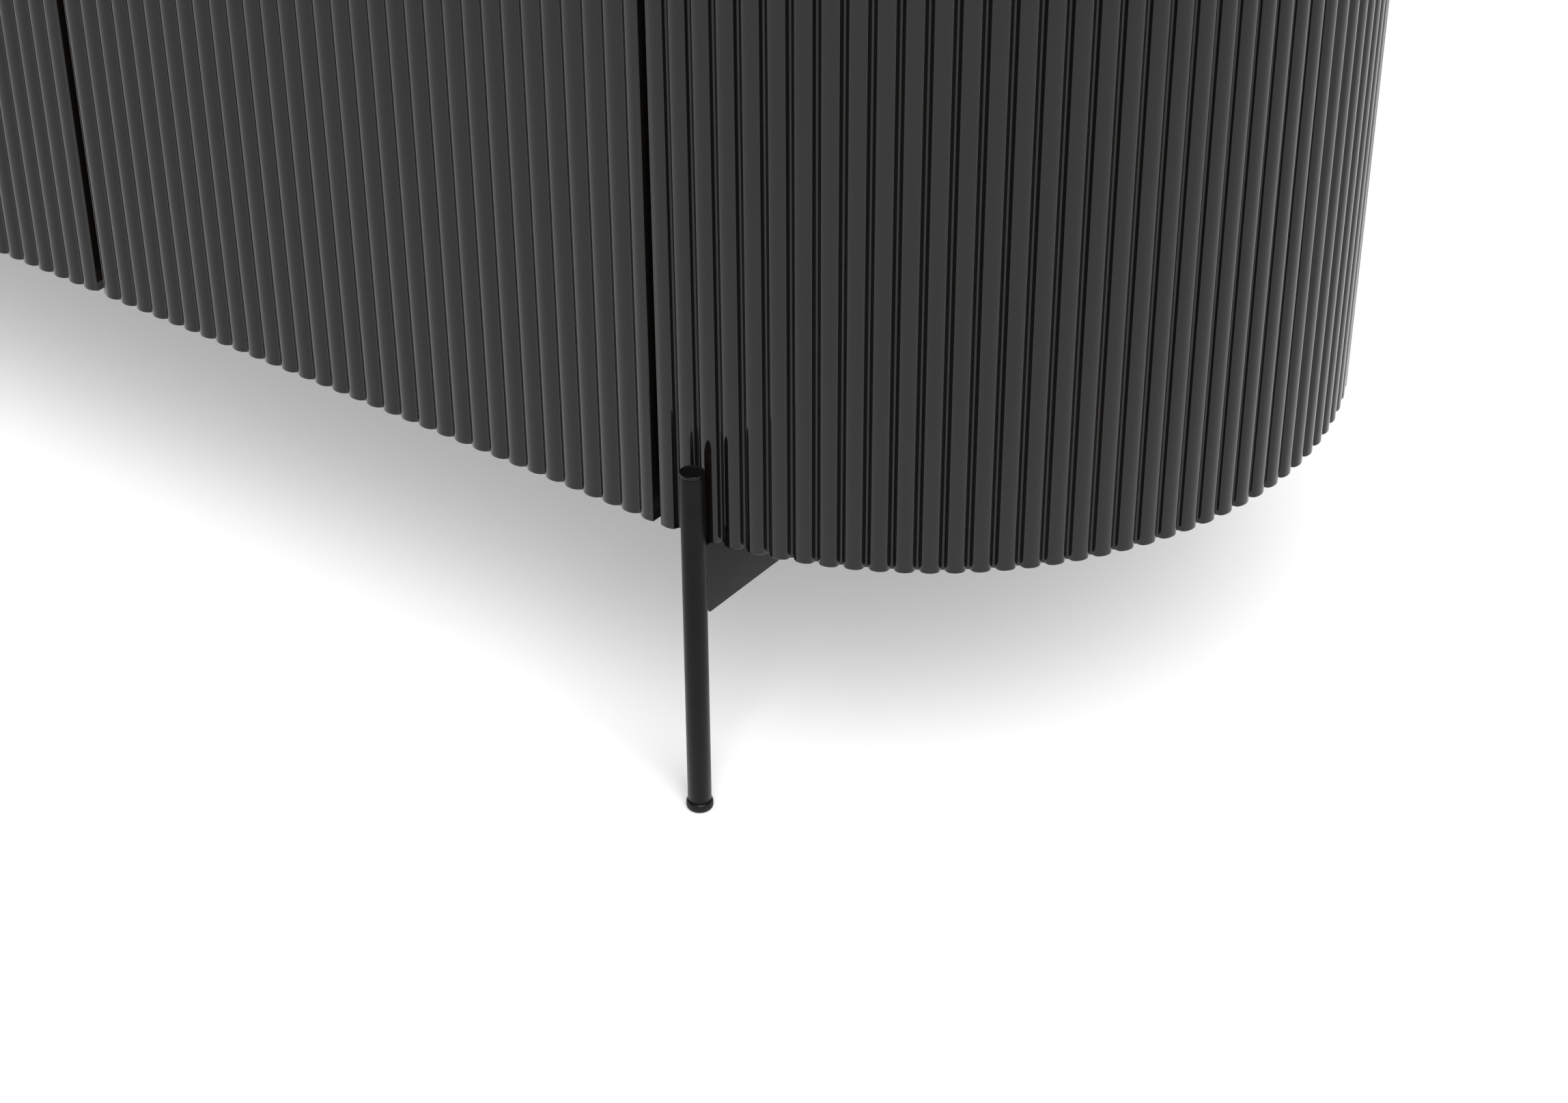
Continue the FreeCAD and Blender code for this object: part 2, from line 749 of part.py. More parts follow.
def make_glide(name, x, y):
    """Foot with a flat-bottomed dome and a stem that screws up into the leg's insert."""
    body = doc.addObject("PartDesign::Body", name)
    profile = new_sketch(body, "XZ_Plane")
    rim = "glide_high-glide_neck"
    polygon(profile, [("0", "0"), ("0.55*glide_radius", "0"), ("0.85*glide_radius", "0.35*glide_dome"),
                      ("glide_radius", "glide_dome"), ("glide_radius", rim),
                      ("0.8*glide_radius", "glide_high-0.2"), ("stem_radius", "glide_high-0.2"),
                      ("stem_radius", "glide_high+stem_long"), ("0", "glide_high+stem_long")])
    turned = body.newObject("PartDesign::Revolution", "Turned")
    turned.Profile = profile
    turned.ReferenceAxis = (profile, ["V_Axis"])
    turned.Angle = 360
    body.Tip = turned
    place(body, x, y)
    keep(body, name)


def rail_middle(sign):
    """The x of the middle plane of a side's cross rail."""
    return "%d*(seam+leg_out)" % sign


def make_cross_rail(name, sign):
    """Flat bar on edge under the end, between the front and the rear leg, notched to the tubes."""
    x = rail_middle(sign)
    y = "spacing_radius+leg_front"
    bar = block((x + "-rail_thick/2", x + "+rail_thick/2"), ("-(%s)" % y, y),
                ("bottom-rail_high", "bottom"))
    tubes = [rod("z", ("glide_high", "leg_top"), (x, end), "leg_radius")
             for end in ("-(%s)" % y, y)]
    keep(cut(bar, tubes), name)


def rail_screw_places(sign):
    x = "%s-%d*rail_screw_inset" % (rail_middle(sign), sign)
    return [(x, "%d*rail_screw_step" % along) for along in (-1, 0, 1)]


def make_rail_plate(name, sign):
    """Flange on the inner side of the rail, screwed up into the bottom panel."""
    face = "%s-%d*rail_thick/2" % (rail_middle(sign), sign)
    plate = block((face, "%s-%d*rail_plate_wide" % (face, sign)),
                  ("-rail_plate_long/2", "rail_plate_long/2"), ("bottom-rail_plate_thick", "bottom"))
    holes = [rod("z", ("bottom-2*rail_plate_thick", "bottom+1"), at, "screw_radius+screw_clearance")
             for at in rail_screw_places(sign)]
    keep(cut(plate, holes), name)


def make_rail_screws():
    under = "bottom-rail_plate_thick"
    screws = []
    for _, sign in SIDES:
        for at in rail_screw_places(sign):
            shank = rod("z", (under, "bottom+screw_long"), at, "screw_radius")
            head = rod("z", (under + "-screw_head_thick", under), at, "screw_head")
            screws.append(joined([shank, head]))
    keep(group(screws), "rail_screws")


make_top_panel()
make_bottom_panel()
make_back_panel()
make_back_screws()
for side_name, side in SIDES:
    make_end_shell(side_name + "_end_shell", side)
    make_upright(side_name + "_upright", "%d*(seam-panel/2)" % side, (-side,))
    make_shelf(side_name + "_shelf", side)
    make_cross_rail(side_name + "_cross_rail", side)
    make_rail_plate(side_name + "_rail_plate", side)
make_upright("centre_partition", "0", (-1, 1))
make_shelf_pins()
make_dowels()
make_rail_screws()

for door_name, door_start, door_hinge_side, door_trimmed in DOORS:
    edge, open_edge = door_edges(door_start, door_hinge_side, door_trimmed)
    make_door_panel(door_name, door_start, door_hinge_side, door_trimmed)
    make_hinge_cups(door_name, cup_centre(edge, door_hinge_side))
    make_cup_screws(door_name, cup_centre(edge, door_hinge_side))
    make_strike(door_name, latch_place(open_edge, door_hinge_side))
    make_bumpers(door_name, open_edge, door_hinge_side)
make_hinge_arms()
make_hinge_plates()
make_hinge_screws()
make_latch_housings()
make_plungers()

make_legs()
make_leg_caps()
make_leg_inserts()
for leg_name, leg_x, leg_y in leg_places():
    make_glide(leg_name + "_glide", leg_x, leg_y)

doc.recompute()

failed = [thing.Label for thing in doc.Objects if {"Invalid", "Error"} & set(thing.State)]
for thing in parts:
    if thing.Shape.isNull() or not thing.Shape.isValid():
        failed.append(thing.Label)
if failed:
    raise SystemExit("failed: " + ", ".join(failed))

os.makedirs("parts", exist_ok=True)
for thing in parts:
    thing.Shape.exportStep("parts/%s.step" % thing.Label)
print(len(parts), "sub-parts written")
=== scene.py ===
import json
import math

import bmesh
import bpy
from mathutils import Matrix, Vector


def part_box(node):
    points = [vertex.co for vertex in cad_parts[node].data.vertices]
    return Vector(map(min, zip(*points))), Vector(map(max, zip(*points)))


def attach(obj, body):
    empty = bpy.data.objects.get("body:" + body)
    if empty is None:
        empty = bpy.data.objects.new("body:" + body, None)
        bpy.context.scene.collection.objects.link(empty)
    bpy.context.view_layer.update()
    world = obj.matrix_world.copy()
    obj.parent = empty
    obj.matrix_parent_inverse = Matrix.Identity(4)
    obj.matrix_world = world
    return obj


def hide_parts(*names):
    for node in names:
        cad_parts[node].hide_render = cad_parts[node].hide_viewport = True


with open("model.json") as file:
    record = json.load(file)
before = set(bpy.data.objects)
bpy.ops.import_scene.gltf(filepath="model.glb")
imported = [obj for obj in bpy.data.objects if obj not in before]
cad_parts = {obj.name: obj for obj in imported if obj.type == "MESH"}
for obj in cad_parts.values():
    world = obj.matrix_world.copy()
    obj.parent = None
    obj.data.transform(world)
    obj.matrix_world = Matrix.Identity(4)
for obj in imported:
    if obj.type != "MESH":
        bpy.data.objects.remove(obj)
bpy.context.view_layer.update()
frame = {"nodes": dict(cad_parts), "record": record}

MM = 0.001

# Sizes, in metres: the flutes' own, and what the frame says about the cabinet.

PITCH = 12 * MM
FLUTES_PER_DOOR = 32
FLUTES_PER_END = 58
FLUTE_CREST = 2.6 * MM
CREST_RADIUS = 8.3 * MM
CREST_ANGLE = math.radians(20)
GROOVE_RADIUS = FLUTES_PER_END * PITCH / math.pi
SEAM_TRIM = 2 * MM
RIM_ROUNDING = 0.8 * MM

DOORS = ("left_outer", "left_inner", "right_inner", "right_outer")
SIDES = (("left", -1), ("right", 1))
LEGS = [side + "_" + end for side in ("left", "right") for end in ("front", "rear")]

seam_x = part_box("right_end_shell")[0].x - SEAM_TRIM
carcass_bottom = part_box("right_end_shell")[0].z
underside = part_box("right_end_shell")[1].z
carcass_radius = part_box("bottom_panel")[1].y


# Camera, at the photograph's viewing angle.

def add_camera():
    yaw, pitch, roll = -0.6409, 0.5873, -0.0051
    level_right = Vector((math.cos(yaw), -math.sin(yaw), 0))
    forward = Vector((math.sin(yaw) * math.cos(pitch), math.cos(yaw) * math.cos(pitch),
                      -math.sin(pitch)))
    level_up = level_right.cross(forward)
    right = math.cos(roll) * level_right + math.sin(roll) * level_up
    up = math.cos(roll) * level_up - math.sin(roll) * level_right
    camera = bpy.data.objects.new("camera", bpy.data.cameras.new("camera"))
    camera.data.sensor_width = 36
    camera.data.lens = 71.33
    corner = Vector((seam_x, -GROOVE_RADIUS, carcass_bottom))
    camera.location = corner + PITCH * Vector((66.4743, -80.7533, 68.0902))
    camera.rotation_euler = Matrix((right, up, -forward)).transposed().to_euler()
    bpy.context.scene.collection.objects.link(camera)
    bpy.context.scene.camera = camera


add_camera()


# Materials

def new_material(name):
    """An empty node material; returns it, its nodes, a link function and its Principled shader."""
    material = bpy.data.materials.new(name)
    material.use_nodes = True
    nodes = material.node_tree.nodes
    return material, nodes, material.node_tree.links.new, nodes["Principled BSDF"]


def node(nodes, kind, **values):
    """A shader node with its attributes, or its inputs where a name has no such attribute, set."""
    made = nodes.new("ShaderNode" + kind)
    for name, value in values.items():
        if hasattr(made, name):
            setattr(made, name, value)
        else:
            made.inputs[name.replace("_", " ")].default_value = value
    return made


def object_coordinates(nodes, link, stretch=(1, 1, 1)):
    place = node(nodes, "TexCoord")
    mapping = node(nodes, "Mapping")
    mapping.inputs["Scale"].default_value = stretch
    link(place.outputs["Object"], mapping.inputs["Vector"])
    return mapping.outputs["Vector"]


def noise(nodes, link, vector, scale, detail=2.0, roughness=0.5):
    texture = node(nodes, "TexNoise", Scale=scale, Detail=detail, Roughness=roughness)
    link(vector, texture.inputs["Vector"])
    return texture.outputs["Fac"]


def ramp(nodes, link, factor, stops):
    """A colour ramp; stops are pairs of position and colour."""
    made = node(nodes, "ValToRGB")
    elements = made.color_ramp.elements
    while len(elements) < len(stops):
        elements.new(0.5)
    for element, (position, colour) in zip(elements, stops):
        element.position = position
        element.color = (*colour, 1)
    link(factor, made.inputs["Fac"])
    return made.outputs["Color"]


def bump(nodes, link, height, strength, distance, normal=None):
    made = node(nodes, "Bump", Strength=strength, Distance=distance)
    link(height, made.inputs["Height"])
    if normal is not None:
        link(normal, made.inputs["Normal"])
    return made.outputs["Normal"]


def grey_range(low, high):
    return [(0.3, (low, low, low)), (0.7, (high, high, high))]


def lacquer_material():
    """Near-black gloss lacquer: faint warm cloudiness, long soft waves and a slight orange peel."""
    material, nodes, link, shader = new_material("black_gloss_lacquer")
    plain = object_coordinates(nodes, link)
    drawn_out = object_coordinates(nodes, link, (1, 1, 0.12))
    tone = noise(nodes, link, drawn_out, 9.0, 3.0)
    link(ramp(nodes, link, tone, [(0.3, (0.0030, 0.0026, 0.0024)), (0.7, (0.0055, 0.0046, 0.0040))]),
         shader.inputs["Base Color"])
    haze = noise(nodes, link, drawn_out, 30.0, 3.0)
    link(ramp(nodes, link, haze, grey_range(0.03, 0.07)), shader.inputs["Roughness"])
    waves = bump(nodes, link, noise(nodes, link, drawn_out, 60.0, 1.0), 0.25, 0.0006)
    peel = bump(nodes, link, noise(nodes, link, plain, 420.0, 2.0), 0.10, 0.0001, waves)
    link(peel, shader.inputs["Normal"])
    shader.inputs["IOR"].default_value = 1.43
    return material


def board_material():
    """Dark matt foil on the inside boards, with a fine linear texture."""
    material, nodes, link, shader = new_material("inside_board")
    drawn_out = object_coordinates(nodes, link, (0.05, 1, 1))
    grain = noise(nodes, link, drawn_out, 220.0, 4.0)
    link(ramp(nodes, link, grain, [(0.3, (0.06, 0.057, 0.054)), (0.7, (0.085, 0.081, 0.077))]),
         shader.inputs["Base Color"])
    link(ramp(nodes, link, grain, grey_range(0.5, 0.62)), shader.inputs["Roughness"])
    link(bump(nodes, link, grain, 0.15, 0.0002), shader.inputs["Normal"])
    return material


def powder_coat_material():
    """Satin black powder coat with a fine even texture."""
    material, nodes, link, shader = new_material("black_powder_coat")
    plain = object_coordinates(nodes, link)
    tone = noise(nodes, link, plain, 40.0, 2.0)
    link(ramp(nodes, link, tone, [(0.3, (0.0028, 0.0027, 0.0026)), (0.7, (0.0048, 0.0044, 0.0042))]),
         shader.inputs["Base Color"])
    link(ramp(nodes, link, tone, grey_range(0.3, 0.4)), shader.inputs["Roughness"])
    link(bump(nodes, link, noise(nodes, link, plain, 1800.0, 2.0), 0.18, 0.0001),
         shader.inputs["Normal"])
    shader.inputs["Specular IOR Level"].default_value = 0.15
    return material


def plastic_material(name, dark, light, low, high, shine=0.5):
    material, nodes, link, shader = new_material(name)
    plain = object_coordinates(nodes, link)
    tone = noise(nodes, link, plain, 90.0, 3.0)
    link(ramp(nodes, link, tone, [(0.3, dark), (0.7, light)]), shader.inputs["Base Color"])
    link(ramp(nodes, link, tone, grey_range(low, high)), shader.inputs["Roughness"])
    link(bump(nodes, link, noise(nodes, link, plain, 2500.0, 1.0), 0.08, 0.00005),
         shader.inputs["Normal"])
    shader.inputs["Specular IOR Level"].default_value = shine
    return material


def steel_material():
    """Nickel-plated steel with faint rolling marks."""
    material, nodes, link, shader = new_material("plated_steel")
    drawn_out = object_coordinates(nodes, link, (1, 1, 0.1))
    marks = noise(nodes, link, drawn_out, 900.0, 3.0)
    link(ramp(nodes, link, marks, [(0.3, (0.5, 0.5, 0.49)), (0.7, (0.62, 0.61, 0.6))]),
         shader.inputs["Base Color"])
    link(ramp(nodes, link, marks, grey_range(0.24, 0.36)), shader.inputs["Roughness"])
    link(bump(nodes, link, marks, 0.05, 0.00005), shader.inputs["Normal"])
    shader.inputs["Metallic"].default_value = 1.0
    return material


def beech_material():
    material, nodes, link, shader = new_material("beech")
    drawn_out = object_coordinates(nodes, link, (1, 1, 0.08))
    grain = noise(nodes, link, drawn_out, 500.0, 5.0)
    link(ramp(nodes, link, grain, [(0.3, (0.5, 0.34, 0.2)), (0.7, (0.68, 0.5, 0.33))]),
         shader.inputs["Base Color"])
    shader.inputs["Roughness"].default_value = 0.6
    return material


def floor_material():
    """Plain white studio sweep, lit a little from within so that it photographs as white."""
    material, nodes, link, shader = new_material("studio_floor")
    plain = object_coordinates(nodes, link)
    tone = noise(nodes, link, plain, 1.5, 2.0)
    link(ramp(nodes, link, tone, [(0.3, (0.84, 0.84, 0.845)), (0.7, (0.86, 0.86, 0.86))]),
         shader.inputs["Base Color"])
    shader.inputs["Roughness"].default_value = 0.9
    shader.inputs["Emission Color"].default_value = (1, 1, 1, 1)
    shader.inputs["Emission Strength"].default_value = 0.28
    return material


LACQUER = lacquer_material()
BOARD = board_material()
POWDER_COAT = powder_coat_material()
BLACK_PLASTIC = plastic_material("black_plastic", (0.0025, 0.0025, 0.0025), (0.005, 0.005, 0.005),
                                 0.24, 0.34, 0.2)
BUMPER = plastic_material("clear_bumper", (0.42, 0.42, 0.4), (0.5, 0.5, 0.48), 0.2, 0.3)
STEEL = steel_material()
BEECH = beech_material()

SLOT_MATERIALS = {
    "lacquered_wood": LACQUER,
    "interior_board": BOARD,
    "dowel_wood": BEECH,
    "plated_steel": STEEL,
    "black_powder_coat": POWDER_COAT,
    "black_plastic": BLACK_PLASTIC,
    "clear_bumper": BUMPER,
}


def finish_cad_nodes():
    """Give every CAD node the material of its slot, and a small rounding to its edges."""
    for subpart in frame["record"]["subparts"]:
        shown = frame["nodes"][subpart["node"]]
        shown.data.materials.clear()
        shown.data.materials.append(SLOT_MATERIALS[subpart["material_slot"]])
        rounding = shown.modifiers.new("edge_rounding", "BEVEL")
        rounding.width = 0.3 * MM
        rounding.segments = 2
        rounding.angle_limit = math.radians(40)


finish_cad_nodes()


# Meshes. A ring is a list of (x, y, z) points; a run of rings of one length makes a skin.

def add_skin(solid, rings, looped=False):
    """Add a closed skin through rings: capped at both ends, or its last ring joined to its first."""
    rows = [[solid.verts.new(point) for point in ring] for ring in rings]
    count = len(rows[0])
    pairs = list(zip(rows, rows[1:]))
    if looped:
        pairs.append((rows[-1], rows[0]))
    for lower, upper in pairs:
        for index in range(count):
            following = (index + 1) % count
            solid.faces.new((lower[index], lower[following], upper[following], upper[index]))
    if not looped:
        solid.faces.new(list(reversed(rows[0])))
        solid.faces.new(rows[-1])


def new_piece(name, solid, body, slot_name, *replaced, sharp=32, carve=None):
    """Finish a piece: smooth where it is round, sharp at its corners, riding on its body."""
    bmesh.ops.recalc_face_normals(solid, faces=solid.faces)
    mesh = bpy.data.meshes.new(name)
    solid.to_mesh(mesh)
    solid.free()
    mesh.materials.append(SLOT_MATERIALS[slot_name])
    piece = bpy.data.objects.new(name, mesh)
    bpy.context.scene.collection.objects.link(piece)
    if carve:
        carve_out(piece, carve)
    for polygon in piece.data.polygons:
        polygon.use_smooth = True
    piece.data.set_sharp_from_angle(angle=math.radians(sharp))
    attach(piece, body)
    if replaced:
        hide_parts(*replaced)
    return piece


def carve_out(piece, tool):
    """Take the solid of a bmesh out of a piece's mesh."""
    mesh = bpy.data.meshes.new("carving_tool")
    bmesh.ops.recalc_face_normals(tool, faces=tool.faces)
    tool.to_mesh(mesh)
    tool.free()
    cutter = bpy.data.objects.new("carving_tool", mesh)
    bpy.context.scene.collection.objects.link(cutter)
    carving = piece.modifiers.new("carving", "BOOLEAN")
    carving.operation = "DIFFERENCE"
    carving.object = cutter
    carved = bpy.data.meshes.new_from_object(piece.evaluated_get(bpy.context.evaluated_depsgraph_get()))
    carved.name = piece.name
    piece.modifiers.clear()
    piece.data = carved
    bpy.data.objects.remove(cutter)


AXES = {"x": Vector((1, 0, 0)), "y": Vector((0, 1, 0)), "z": Vector((0, 0, 1))}


def placed(origin, out, up):
    """A map from local (across, up, out) points to world points."""
    origin, out, up = Vector(origin), Vector(out), Vector(up)
    across = up.cross(out)
    return lambda a, b, c: origin + a * across + b * up + c * out


def standing(origin):
    """A map for things that stand upright on a point."""
    return placed(origin, AXES["z"], AXES["y"])


def circle(radius, segments):
    return [(radius * math.cos(2 * math.pi * step / segments),
             radius * math.sin(2 * math.pi * step / segments)) for step in range(segments)]


def turned(solid, place, profile, segments=48, looped=False):
    """A skin of circles; the profile lists radius and distance along the axis."""
    rings = [[place(a, b, out) for a, b in circle(radius, segments)] for radius, out in profile]
    add_skin(solid, rings, looped)


def rounded_rectangle(half_width, half_height, radius, steps=3):
    """Outline of a rectangle about the origin with rounded corners."""
    points = []
    for corner, (across, up) in enumerate(((1, 1), (-1, 1), (-1, -1), (1, -1))):
        for step in range(steps + 1):
            angle = math.pi / 2 * (corner + step / steps)
            points.append((across * (half_width - radius) + radius * math.cos(angle),
                           up * (half_height - radius) + radius * math.sin(angle)))
    return points


def rounding_steps(radius, count):
    """Inset and rise of each ring of a quarter-round edge, from the end face outward."""
    for step in range(count + 1):
        angle = math.pi / 2 * step / count
        yield radius * (1 - math.sin(angle)), radius * (1 - math.cos(angle))


def rounded_prism(outline, low, high, radius, steps=3):
    """Rings of a prism over the outline, a function of inset, with quarter-round rims."""
    lower = [(inset, low + rise) for inset, rise in rounding_steps(radius, steps)]
    upper = [(inset, high - rise) for inset, rise in rounding_steps(radius, steps)]
    return [[(x, y, z) for x, y in outline(inset)] for inset, z in lower + upper[::-1]]


def rounded_block(solid, place, size, corner, rim, steps=2):
    """A block from the local origin along out: size is across, up and out."""
    half_width, half_height, length = size[0] / 2, size[1] / 2, size[2]

    def outline(inset):
        return rounded_rectangle(half_width - inset, half_height - inset, max(corner - inset, rim / 9))
    rings = rounded_prism(outline, 0, length, rim, steps)
    add_skin(solid, [[place(*point) for point in ring] for ring in rings])


# Fluted lacquered parts

CREST_STEPS = 6
SHOULDER_STEPS = 6
FILLET_STEPS = 5
EDGE_CORNER = 1.0 * MM
EDGE_STEPS = 3


def flute_stations(shoulder, fillet):
    """Points of one flute, from the bottom of its left groove to just before its right one, for
    a radius of its shoulders and one of the fillet in its grooves.

    A flat crest turns down over tighter shoulders into a fillet that fills the groove. Each point
    is an arc's centre (offset from the flute's middle, height above the spacing line), its
    radius, 1 for an arc that bulges out or -1 for the groove's fillet, and an angle."""
    shoulder_offset = (CREST_RADIUS - shoulder) * math.sin(CREST_ANGLE)
    crest_centre = FLUTE_CREST - CREST_RADIUS
    shoulder_centre = crest_centre + (CREST_RADIUS - shoulder) * math.cos(CREST_ANGLE)
    reach = shoulder + fillet
    steepest = math.asin((PITCH / 2 - shoulder_offset) / reach)
    fillet_centre = shoulder_centre + reach * math.cos(steepest)

    def arc(centre, height, radius, way, start, end, steps):
        return [(centre, height, radius, way, start + (end - start) * step / steps)
                for step in range(steps)]
    return (arc(-PITCH / 2, fillet_centre, fillet, -1, 0, -steepest, FILLET_STEPS)
            + arc(-shoulder_offset, shoulder_centre, shoulder, 1, -steepest, -CREST_ANGLE,
                  SHOULDER_STEPS)
            + arc(0, crest_centre, CREST_RADIUS, 1, -CREST_ANGLE, CREST_ANGLE, CREST_STEPS)
            + arc(shoulder_offset, shoulder_centre, shoulder, 1, CREST_ANGLE, steepest,
                  SHOULDER_STEPS)
            + arc(PITCH / 2, fillet_centre, fillet, -1, steepest, 0, FILLET_STEPS))


DOOR_STATIONS = flute_stations(5.6 * MM, 1.3 * MM)
END_STATIONS = flute_stations(3.4 * MM, 1.1 * MM)


def station_point(station, inset):
    """Offset and height of a station on the surface moved in by the inset."""
    centre, height, radius, way, angle = station
    length = way * (radius - way * inset)
    return centre + length * math.sin(angle), height + length * math.cos(angle)


def edge_arc(middle_x, middle_y, way, inset):
    """Quarter round from a side face to the front, for way -1, or from the front to the side."""
    radius = EDGE_CORNER - inset
    angles = [math.pi / 2 * step / EDGE_STEPS for step in range(EDGE_STEPS + 1)]
    if way > 0:
        angles.reverse()
    return [(middle_x + way * radius * math.cos(angle), middle_y - radius * math.sin(angle))
            for angle in angles]


def door_outline(name):
    low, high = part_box(name + "_door")
    first_flute = low.x - (SEAM_TRIM if name == "left_outer" else 0)
    kept = []
    for flute in range(FLUTES_PER_DOOR):
        middle = first_flute + (flute + 0.5) * PITCH
        for station in DOOR_STATIONS:
            offset, height = station_point(station, 0)
            if low.x + EDGE_CORNER < middle + offset < high.x - EDGE_CORNER:
                kept.append((middle, station))
    edge_heights = [station_point(kept[index][1], 0)[1] for index in (0, -1)]

    def outline(inset):
        front = []
        for middle, station in kept:
            offset, height = station_point(station, inset)
            front.append((middle + offset, -GROOVE_RADIUS - height))
        left_y, right_y = [EDGE_CORNER - GROOVE_RADIUS - height for height in edge_heights]
        left = edge_arc(low.x + EDGE_CORNER, left_y, -1, inset)
        right = edge_arc(high.x - EDGE_CORNER, right_y, 1, inset)
        back = high.y - inset
        return left + front + right + [(high.x - inset, back), (low.x + inset, back)]
    return outline


CUP_BORE = 17.5 * MM
CUP_DEPTH = 12 * MM
CUP_FLANGE = 60 * MM


def hinge_places(door):
    """Middle of each of a door's hinge cups, on the door's back face."""
    low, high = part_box(door + "_hinge_cups")
    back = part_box(door + "_door")[1].y
    for height in (low.z + CUP_FLANGE / 2, high.z - CUP_FLANGE / 2):
        yield Vector(((low.x + high.x) / 2, back, height))


def make_door(name):
    low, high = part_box(name + "_door")
    solid = bmesh.new()
    add_skin(solid, rounded_prism(door_outline(name), low.z, high.z, RIM_ROUNDING))
    bores = bmesh.new()
    for middle in hinge_places(name):
        into_door = placed(middle, -AXES["y"], AXES["z"])
        turned(bores, into_door, [(CUP_BORE, -CUP_DEPTH), (CUP_BORE, CUP_DEPTH)], 64)
    new_piece(name + "_fluted_door", solid, name + "_door", "lacquered_wood", name + "_door",
              carve=bores)


for door in DOORS:
    make_door(door)


SHELL_CLEARANCE = 0.3 * MM
SHELL_STEPS = 64


def end_outline(sign):
    """Outline of a half-round fluted shell about the seam, seen from above."""
    inner = carcass_radius + SHELL_CLEARANCE
    turn = math.pi / FLUTES_PER_END
    reach = GROOVE_RADIUS * math.cos(turn / 2)

    def point(flute, station, inset):
        middle = (flute + 0.5) * turn - math.pi / 2
        offset, height = station_point(station, inset)
        out = reach + height
        return (out * math.cos(middle) - offset * math.sin(middle),
                out * math.sin(middle) + offset * math.cos(middle))

    kept = [(flute, station) for flute in range(FLUTES_PER_END) for station in END_STATIONS
            if point(flute, station, 0)[0] > SEAM_TRIM + EDGE_CORNER]
    edge_y = point(*kept[0], 0)[1]

    def outline(inset):
        front = edge_arc(SEAM_TRIM + EDGE_CORNER, edge_y + EDGE_CORNER, -1, inset)
        rear = [(x, -y) for x, y in reversed(front)]
        outside = front + [point(flute, station, inset) for flute, station in kept] + rear
        radius = inner + inset
        start = math.acos((SEAM_TRIM + inset) / radius)
        inside = []
        for step in range(SHELL_STEPS + 1):
            angle = start * (1 - 2 * step / SHELL_STEPS)
            inside.append((radius * math.cos(angle), radius * math.sin(angle)))
        return [(sign * (seam_x + x), sign * y) for x, y in outside + inside]
    return outline


for side_name, side in SIDES:
    shell = bmesh.new()
    add_skin(shell, rounded_prism(end_outline(side), carcass_bottom, underside, RIM_ROUNDING))
    new_piece(side_name + "_fluted_end", shell, "cabinet", "lacquered_wood", side_name + "_end_shell")


TOP_STEPS = 128
TOP_ROUNDING = 1.5 * MM


def top_outline(inset):
    """Two half circles about the seams, joined by straight sides."""
    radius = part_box("top_panel")[1].x - seam_x - inset
    points = []
    for sign in (1, -1):
        for step in range(TOP_STEPS + 1):
            angle = math.pi * (step / TOP_STEPS - sign / 2)
            points.append((sign * seam_x + radius * math.cos(angle), radius * math.sin(angle)))
    return points


def make_top():
    low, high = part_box("top_panel")
    solid = bmesh.new()
    add_skin(solid, rounded_prism(top_outline, low.z, high.z, TOP_ROUNDING, 5))
    new_piece("rounded_top", solid, "cabinet", "lacquered_wood", "top_panel")


make_top()


# Legs

LEG_RADIUS = 6 * MM
LEG_WALL = 1.5 * MM
LEG_SEGMENTS = 64
LEG_EDGE = 0.35 * MM


def leg_axis(leg):
    low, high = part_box(leg + "_leg")
    return (low + high) / 2


def make_leg(leg):
    """Tube with softened ends."""
    low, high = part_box(leg + "_leg")
    foot = standing((leg_axis(leg).x, leg_axis(leg).y, low.z))
    length, inside, edge = high.z - low.z, LEG_RADIUS - LEG_WALL, LEG_EDGE
    profile = [(inside, 0), (LEG_RADIUS - edge, 0), (LEG_RADIUS - edge * 0.3, edge * 0.3),
               (LEG_RADIUS, edge), (LEG_RADIUS, length - edge),
               (LEG_RADIUS - edge * 0.3, length - edge * 0.3), (LEG_RADIUS - edge, length),
               (inside, length)]
    tube = bmesh.new()
    turned(tube, foot, profile, LEG_SEGMENTS, looped=True)
    new_piece(leg + "_tube", tube, "cabinet", "black_powder_coat", leg + "_leg")


def make_leg_caps():
    """Plugs with a flange as wide as the tube: a shallow dish inside a thin rounded rim."""
    caps = bmesh.new()
    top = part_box("leg_caps")[1].z
    for leg in LEGS:
        tube_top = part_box(leg + "_leg")[1].z
        thick = top - tube_top
        foot = standing((leg_axis(leg).x, leg_axis(leg).y, tube_top))
        rim = LEG_RADIUS - 0.02 * MM
        profile = [(LEG_RADIUS - LEG_WALL - 0.1 * MM, -10 * MM), (LEG_RADIUS - LEG_WALL - 0.1 * MM, 0),
                   (rim - 0.35 * MM, 0), (rim - 0.2 * MM, 0.12 * MM), (rim, 0.35 * MM),
                   (rim, thick - 0.45 * MM), (rim - 0.12 * MM, thick - 0.14 * MM),
                   (rim - 0.4 * MM, thick), (rim - 0.75 * MM, thick - 0.08 * MM),
                   (rim - 1.0 * MM, thick - 0.35 * MM), (rim - 1.3 * MM, thick - 0.45 * MM),
                   (rim - 3.5 * MM, thick - 0.5 * MM)]
        turned(caps, foot, profile, LEG_SEGMENTS)
    new_piece("leg_cap_set", caps, "cabinet", "black_plastic", "leg_caps", sharp=50)


for leg in LEGS:
    make_leg(leg)
make_leg_caps()


RAIL_EDGE = 0.5 * MM
RAIL_CORNER = 2.8 * MM
WELD_RADIUS = 1.3 * MM
WELD_STEPS = 44


